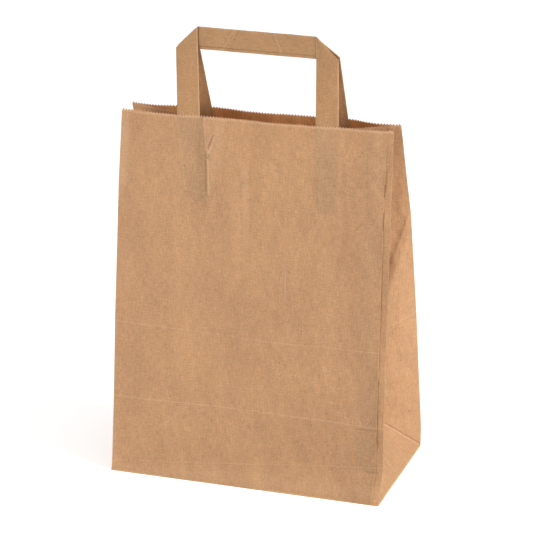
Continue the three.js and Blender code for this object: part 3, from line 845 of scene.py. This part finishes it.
def kraft_paper(name, base, look, creases_and_painted_light):
    """Unbleached machine-glazed kraft: long brown fibres laid up the sheet, cloudy formation, a few bark
    flecks, and a matt surface that turns pale where it has been creased. Painted highlight and painted shade
    are laid along some lines, and the inner side is lightened and warmed as painted bounce light. Some light
    passes through it."""
    material = bpy.data.materials.new(name)
    tree = empty_tree(material)
    flat = put(tree, "ShaderNodeUVMap", uv_map="paper")
    # One unit is a millimetre of paper
    place = put(tree, "ShaderNodeMapping", {"Vector": flat, "Scale": [1 / MM] * 3})

    def stretched(scale):
        return put(tree, "ShaderNodeMapping", {"Vector": place, "Scale": scale})

    def noise(stretch, pitch, detail, rough=0.55):
        made = add_node(tree, "ShaderNodeTexNoise", {
            "Vector": stretched(stretch), "Scale": 1 / pitch, "Detail": detail, "Roughness": rough,
        }, noise_dimensions="2D")
        return made.outputs["Fac"]

    def remap(value, low, high, to_low, to_high):
        return put(tree, "ShaderNodeMapRange", {
            "Value": value, "From Min": low, "From Max": high, "To Min": to_low, "To Max": to_high})

    def layered(total, low, layers):
        """Adds noises to a sum, each from low times its size up to its size."""
        for layer, size in layers:
            total = arithmetic(tree, "ADD", total, remap(layer, 0.3, 0.7, low * size, size))
        return total

    def blend(kind, amount, a, b):
        made = add_node(tree, "ShaderNodeMix", {0: amount, 6: a, 7: b}, data_type="RGBA", blend_type=kind)
        return made.outputs[2]

    def attribute(name):
        return add_node(tree, "ShaderNodeAttribute", attribute_name=name).outputs["Fac"]

    fibres = noise((1, 0.14, 1), 1.1, 3, 0.65)
    cross = noise((0.2, 1, 1), 1.3, 2, 0.6)
    grain = noise((0.75, 1, 1), 1.15, 3, 0.7)
    clouds = noise((1, 0.7, 1), 8, 3)
    patches = noise((1, 0.8, 1), 55, 2)
    slack = noise((1, 0.65, 1), 26, 2)
    tone = layered(1.0, -1, (
        (fibres, 0.08), (cross, 0.06), (grain, 0.12), (clouds, 0.025), (patches, 0.045)))
    grey = put(tree, "ShaderNodeCombineColor", {"Red": tone, "Green": tone, "Blue": tone})
    # Inner side: its own tint, made lighter and warmer than the kraft, partly painted bounce light for the
    # light kraft throws round inside the bag
    body = blend("MIX", attribute("inside"), (*base, 1), (*look.inside, 1))
    body = blend("MULTIPLY", 1.0, body, grey)
    body = blend("MULTIPLY", attribute("backed"), body, (0.91, 0.94, 0.955, 1))

    # Lines without height, most of them painted light and shade, come last, so that the bump, which is worked
    # out three times, leaves them out
    group = bpy.data.node_groups.get("paper_crease_and_painted_light") or crease_and_light_tree()
    total = raised = (0.0, 0.0, 0.0)
    for points, width, height, wear_and_painted_light in sorted(creases_and_painted_light, key=lambda crease: not crease[2]):
        for start, end in zip(points, points[1:]):
            total = put(tree, "ShaderNodeGroup", {
                "Sum": total, "Place": place, "Start": (*start, 0), "End": (*end, 0), "Width": width,
                "Height": height, "Wear and painted light": wear_and_painted_light}, node_tree=group)
        raised = total if height else raised
    sums = add_node(tree, "ShaderNodeSeparateXYZ", {0: total})
    wear_and_painted_light = arithmetic(tree, "MULTIPLY", sums.outputs[1], remap(grain, 0.35, 0.65, 0.55, 1.0))

    flecks = add_node(tree, "ShaderNodeTexVoronoi", {
        "Vector": stretched((1, 0.55, 1)), "Scale": 1 / 8, "Randomness": 1.0,
    }, voronoi_dimensions="2D").outputs
    rare = put(tree, "ShaderNodeSeparateColor", {0: flecks["Color"]})
    near = remap(flecks["Distance"], 0.035, 0.075, 1, 0)
    # Mixes in pale worn fibre and painted highlight, painted shade, pale cut edges and bark flecks
    for share, times, tint in (
        (wear_and_painted_light, 0.8, look.pale), (wear_and_painted_light, -0.8, look.shade), (attribute("cut"), 0.85, look.pale),
        (near, remap(rare, 0.86, 0.98, 0, 0.5), look.shive),
    ):
        body = blend("MIX", arithmetic(tree, "MULTIPLY", share, times, True), body, (*tint, 1))

    height = layered(put(tree, "ShaderNodeSeparateXYZ", {0: raised}), 0, (
        (fibres, 0.03), (grain, 0.06), (clouds, 0.16), (slack, 1.3)))
    relief = put(tree, "ShaderNodeBump", {"Strength": 1.0, "Distance": MM, "Height": height})
    shader = put(tree, "ShaderNodeBsdfPrincipled", {
        "Base Color": body, "Roughness": remap(grain, 0.3, 0.7, 0.68, 0.84), "IOR": 1.5,
        "Specular IOR Level": 0.35, "Normal": relief})
    through = blend("MULTIPLY", 1.0, body, (1, 0.86, 0.68, 1))
    glow = put(tree, "ShaderNodeBsdfTranslucent", {"Color": through, "Normal": relief})
    share = remap(attribute("inside"), 0, 1, 0.34, 0.5)
    mixed = put(tree, "ShaderNodeMixShader", {0: share, 1: shader, 2: glow})
    add_node(tree, "ShaderNodeOutputMaterial", {"Surface": mixed})
    return material


# Handles

# Creases of the strips, with painted light and shade along some of them, as above: u across the strip, with
# 50 mm between the front handle's left leg, right leg and cross strip and 300 mm to the rear handle's, and v
# along it from 1000
STRIP_CREASES_AND_PAINTED_LIGHT = [
    # Painted shade along the fold near each cross strip's lower edge
    ([(102.9, 1000), (102.9, 1153)], 0.7, -0.3, -0.4),
    ([(402.9, 1000), (402.9, 1153)], 0.7, -0.3, -0.4),
    ([(101, 1043), (120, 1047)], 2.6, 0.5, 0.3),
    ([(101, 1050), (120, 1053)], 1.6, -0.3, -0.1),
    ([(101, 1100), (120, 1098)], 2.6, 0.4, 0.25),
    ([(6, 1082), (20, 1090)], 1.2, 0.3, 0.25),
    # Painted shadow in the gaps where the legs' inner edges stand off the cross strip
    ([(100, 1022), (121, 1001)], 2.6, 0.0, -0.95),
    ([(100, 1132), (121, 1153)], 1.4, 0.0, -0.5),
    # Painted highlight along the legs' inner edges and the cross strip's top edge
    ([(20.5, 1074), (20.5, 1160)], 0.9, 0.1, 0.55),
    ([(50.5, 1074), (50.5, 1165)], 0.9, 0.1, 0.55),
    ([(70.5, 1074), (70.5, 1150)], 0.9, 0.1, 0.55),
    ([(120.4, 1000), (120.4, 1153)], 0.8, 0.1, 0.4),
]


SETTLED = 0.9  # share of a leg's free length in which its foot's bend dies out
STRAIGHT = 0.8  # share of a leg's rows below its mitre
MITRE_ROOM = 0.004  # metres from a leg's last straight row to the foot of its mitre


def handle_frame(sheet, face):
    """Points of a handle: legs follow their panel up to the mouth, and then one straight plane."""
    handles = sheet.handles
    t = handles.strip_paper
    gap = 0.25 * MM
    front = face < 0
    rise = handles.front_rise if front else handles.rear_rise
    drift = handles.front_drift if front else handles.rear_drift
    tilt = 0.0 if front else handles.rear_tilt
    end = "front" if front else "back"
    settled = SETTLED * (rise - handles.strip_width)
    middle = (sheet.leg_in + sheet.leg_out) / 2
    top = {}
    for side in (-1, 1):
        across = (side * middle + sheet.shift_x) / sheet.half_width / 2 + 0.5
        top[side] = sheet.mouth(f"{end}_left", f"{end}_right", across)

    def glued(side, x, up, c):
        def behind(at, v):
            return panel_surface(sheet, face, at + sheet.shift_x, v)
        v = top[side] + up
        low = np.minimum(v, top[side] - MM)
        inside = np.full_like(low, side * sheet.leg_in)
        outside = np.full_like(low, side * sheet.leg_out)
        across = behind(outside, low) - behind(inside, low)
        normal = np.cross(across, behind(inside, low + MM) - behind(inside, low)) * side * face
        normal /= np.linalg.norm(normal, axis=-1, keepdims=True)
        return behind(x - LEG_SLANT[side] * np.minimum(up, 0), v) + normal * (gap + c)[..., None]

    feet = []
    for side in (-1, 1):
        none = np.zeros(1)
        ends = [glued(side, np.array([side * x]), none, none)[0] for x in (sheet.leg_in, sheet.leg_out)]
        feet.append((ends[0] + ends[1]) / 2)
    top_y = MEETING_Y + face * (HANDLE_GAP / 2 + 2 * t) + sheet.shift[1]
    centre = (feet[0] + feet[1]) / 2
    top_z = centre[2] + math.sqrt(rise ** 2 - (top_y - centre[1]) ** 2)

    def plane(x, up, c):
        start = feet[0] + (feet[1] - feet[0]) * (x / (2 * middle) + 0.5)[..., None]
        high = np.stack([x + drift + sheet.shift[0], np.full_like(x, top_y), top_z + tilt * x], axis=-1)
        point = start + (high - start) * (up / rise)[..., None]
        point[..., 1] -= face * c
        return point

    def leg(side, x, up, c):
        stuck = glued(side, x, np.minimum(up, 0), c)
        bend = stuck - plane(x, np.zeros_like(x), c)
        free = plane(x, up, c) + bend * np.clip(1 - up / settled, 0, 1)[..., None]
        return np.where((up <= 0)[..., None], stuck, free)

    return leg, plane, rise


def strip_piece(name, across, along, corner):
    """A flattened tube of paper with rounded long edges. corner(s, t, c) gives a point for shares s across
    and t along, and c through the thickness from 0 to 1."""
    edge = 0.035
    rounded = [0.0, 0.006, 0.018, edge]
    shares = rounded + [edge + (1 - 2 * edge) * i / across for i in range(1, across)]
    shares += [1 - s for s in reversed(rounded)]
    halves = [math.sqrt(max(1 - (1 - s / edge) ** 2, 0)) for s in rounded]
    halves += [1.0] * (across - 1) + halves[::-1]
    s, t = np.meshgrid(np.array(shares), np.linspace(0, 1, along + 1), indexing="ij")
    h = np.repeat(np.array(halves)[:, None], along + 1, axis=1)
    front, back = corner(s, t, 0.5 - 0.5 * h), corner(s, t, 0.5 + 0.5 * h)
    rows = along + 1
    count = len(shares) * rows
    points = np.concatenate([front.reshape(-1, 3), back.reshape(-1, 3)])
    faces = []
    for i in range(len(shares) - 1):
        for j in range(along):
            a, b = i * rows + j, (i + 1) * rows + j
            c, d = b + 1, a + 1
            faces += [(a, b, c, d), (a + count, d + count, c + count, b + count)]
        for j, turn in ((0, 1), (along, -1)):
            ring = (i * rows + j, i * rows + j + count, (i + 1) * rows + j + count, (i + 1) * rows + j)
            faces.append(ring[::turn])
    made = make_object(name, points, faces)
    flat = np.concatenate([np.stack([s, t], axis=-1).reshape(-1, 2)] * 2)
    return made, flat


def build_handle(name, sheet, face, seed):
    handles = sheet.handles
    leg, plane, rise = handle_frame(sheet, face)
    w, t = handles.strip_width, handles.strip_paper
    bare = rise - w
    pieces = []
    seeds = np.random.default_rng(seed).integers(0, 1000, 3)

    def crumple(kind, a, b):
        return crumpled(int(seeds[kind]), a, b, [(0.16, 0.03), (0.07, 0.010)]) * MM

    for kind, side in enumerate((-1, 1)):
        def corner(s, along, c, side=side, kind=kind):
            inner = s if side < 0 else 1 - s
            x = side * (sheet.leg_out - w * inner)
            top = bare + w * inner
            level = bare - MITRE_ROOM
            over = np.clip((along - STRAIGHT) / (1 - STRAIGHT), 0, 1)
            up = span(-handles.glued, level, np.minimum(along / STRAIGHT, 1)) + (top - level) * over
            fade = np.clip((up - 0.002) / 0.02, 0, 1)
            return leg(side, x, up, c * t + crumple(kind, x, up) * fade)
        pieces.append(strip_piece(f"{name}_leg", 10, 84, corner))

    def cross(s, along, c):
        reach = sheet.leg_out - w * s
        x = (2 * along - 1) * reach
        up = bare + w * s
        return plane(x, up, t * (1.02 + 0.98 * c) + crumple(2, x, up) * 1.2)
    pieces.append(strip_piece(f"{name}_cross", 10, 70, cross))

    for index, (made, flat) in enumerate(pieces):
        scale = (w, handles.width if index == 2 else handles.glued + rise)
        write_uv(made, flat * scale + (0.05 * index + 0.3 * (face > 0), 1.0))
    return join(name, [made for made, _ in pieces])


def join(name, pieces):
    for piece in bpy.context.selected_objects:
        piece.select_set(False)
    for piece in pieces:
        piece.select_set(True)
    bpy.context.view_layer.objects.active = pieces[0]
    bpy.ops.object.join()
    pieces[0].name = name
    pieces[0].data.name = name
    return pieces[0]


def face_outwards(made):
    bpy.context.view_layer.objects.active = made
    bpy.ops.object.mode_set(mode="EDIT")
    bpy.ops.mesh.select_all(action="SELECT")
    bpy.ops.mesh.remove_doubles(threshold=1e-6)
    bpy.ops.mesh.normals_make_consistent(inside=False)
    bpy.ops.object.mode_set(mode="OBJECT")


# Operators

class PAPERBAG_OT_stage(bpy.types.Operator):
    """Camera at the photograph's angle, pale floor and soft light"""
    bl_idname = "paperbag.stage"
    bl_label = "Stage"

    AZIMUTH = 18.296
    ELEVATION = 19.893
    DISTANCE = 2.585
    AIM = (0.00012, -0.00056, 0.1924)
    LENS = 36 * 2800 / 533  # millimetres, on a 36 mm sensor

    def execute(self, context):
        look = context.scene.stage_look
        a, e = math.radians(self.AZIMUTH), math.radians(self.ELEVATION)
        aim = Vector(self.AIM)
        away = Vector((math.sin(a) * math.cos(e), -math.cos(a) * math.cos(e), math.sin(e)))
        lens = bpy.data.cameras.new("camera")
        lens.lens, lens.sensor_width = self.LENS, 36
        camera = bpy.data.objects.new("camera", lens)
        camera.location = aim + away * self.DISTANCE
        camera.rotation_euler = (-away).to_track_quat("-Z", "Y").to_euler()
        context.collection.objects.link(camera)
        context.scene.camera = camera
        self.add_floor(look)
        self.add_lamp("key", (2.4, -0.45, 1.15), 1.2, look.key_power)
        self.add_lamp("fill", (-0.8, -0.85, 0.35), 0.6, look.fill_power)
        self.light_world(context.scene, look)
        context.scene.view_settings.view_transform = "Standard"
        return {"FINISHED"}

    def add_floor(self, look):
        reach = 6.0
        corners = [(-reach, -reach, 0), (reach, -reach, 0), (reach, reach, 0), (-reach, reach, 0)]
        floor = make_object("floor", corners, [(0, 1, 2, 3)])
        material = bpy.data.materials.new("matt white board")
        tree = empty_tree(material)
        # Seen by the camera, the board is lifted to a pale tone, and its shadow stays
        lift = arithmetic(tree, "MULTIPLY", seen_straight(tree), look.floor_lift)
        shader = put(tree, "ShaderNodeBsdfPrincipled", {
            "Base Color": (*look.floor, 1), "Roughness": 0.9, "Emission Color": (1, 1, 1, 1),
            "Emission Strength": lift})
        add_node(tree, "ShaderNodeOutputMaterial", {"Surface": shader})
        floor.data.materials.append(material)

    def add_lamp(self, name, place, size, power):
        lamp = bpy.data.lights.new(name, "AREA")
        lamp.shape = "DISK"
        lamp.size, lamp.energy = size, power
        made = bpy.data.objects.new(name, lamp)
        made.location = place
        made.rotation_euler = (Vector((0, 0, 0.15)) - Vector(place)).to_track_quat("-Z", "Y").to_euler()
        bpy.context.collection.objects.link(made)

    def light_world(self, scene, look):
        world = bpy.data.worlds.new("white room")
        scene.world = world
        tree = empty_tree(world)
        strength = put(tree, "ShaderNodeMapRange", {
            "Value": seen_straight(tree), "To Min": look.world, "To Max": 1.0})
        light = put(tree, "ShaderNodeBackground", {"Color": (1, 1, 1, 1), "Strength": strength})
        add_node(tree, "ShaderNodeOutputWorld", {"Surface": light})


class PAPERBAG_OT_body(bpy.types.Operator):
    """The folded and glued kraft sheet of the bag"""
    bl_idname = "paperbag.body"
    bl_label = "Bag sheet"

    def execute(self, context):
        sheet, look = Sheet(context.scene.bag_sizes, context.scene.handle_sizes), context.scene.paper_look
        made = build_body(sheet)
        material = kraft_paper("unbleached kraft paper", look.kraft, look, CREASES_AND_PAINTED_LIGHT)
        tree, height = tooth_tree(material)
        apply_tree(made, tree, {height: sheet.sizes.tooth_height})
        base = build_base(sheet)
        base.data.materials.append(material)
        made = join("bag_sheet", [made, base])
        shade(made, 28)
        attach(made, "root")
        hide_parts("bag_body")
        return {"FINISHED"}


class PAPERBAG_OT_handles(bpy.types.Operator):
    """The two flat handles, each folded from one strip of several plies"""
    bl_idname = "paperbag.handles"
    bl_label = "Handles"

    def execute(self, context):
        sheet, look = Sheet(context.scene.bag_sizes, context.scene.handle_sizes), context.scene.paper_look
        material = kraft_paper("kraft handle strip", look.strip, look, STRIP_CREASES_AND_PAINTED_LIGHT)
        for name, node, face, seed in (
            ("front_handle_strip", "front_handle", -1, 3),
            ("rear_handle_strip", "rear_handle", 1, 8),
        ):
            made = build_handle(name, sheet, face, seed)
            face_outwards(made)
            made.data.materials.append(material)
            shade(made, 50)
            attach(made, "root")
            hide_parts(node)
        return {"FINISHED"}


class PAPERBAG_PT_panel(bpy.types.Panel):
    bl_label = "Paper bag"
    bl_idname = "PAPERBAG_PT_panel"
    bl_space_type = "VIEW_3D"
    bl_region_type = "UI"
    bl_category = "Paper bag"

    def draw(self, context):
        for group in (getattr(context.scene, name) for name in GROUPS):
            box = self.layout.box()
            for name in group.__annotations__:
                box.prop(group, name)
        for operator in (PAPERBAG_OT_stage, PAPERBAG_OT_body, PAPERBAG_OT_handles):
            self.layout.operator(operator.bl_idname)


GROUPS = {
    "bag_sizes": BagSizes, "handle_sizes": HandleSizes, "paper_look": PaperLook, "stage_look": StageLook,
}
CLASSES = (*GROUPS.values(), PAPERBAG_OT_stage, PAPERBAG_OT_body, PAPERBAG_OT_handles, PAPERBAG_PT_panel)


def register():
    for cls in CLASSES:
        bpy.utils.register_class(cls)
    for name, group in GROUPS.items():
        setattr(bpy.types.Scene, name, bpy.props.PointerProperty(type=group))


def unregister():
    for name in GROUPS:
        delattr(bpy.types.Scene, name)
    for cls in reversed(CLASSES):
        bpy.utils.unregister_class(cls)


def main():
    register()
    bpy.ops.paperbag.stage()
    bpy.ops.paperbag.body()
    bpy.ops.paperbag.handles()


if __name__ == "__main__":
    main()
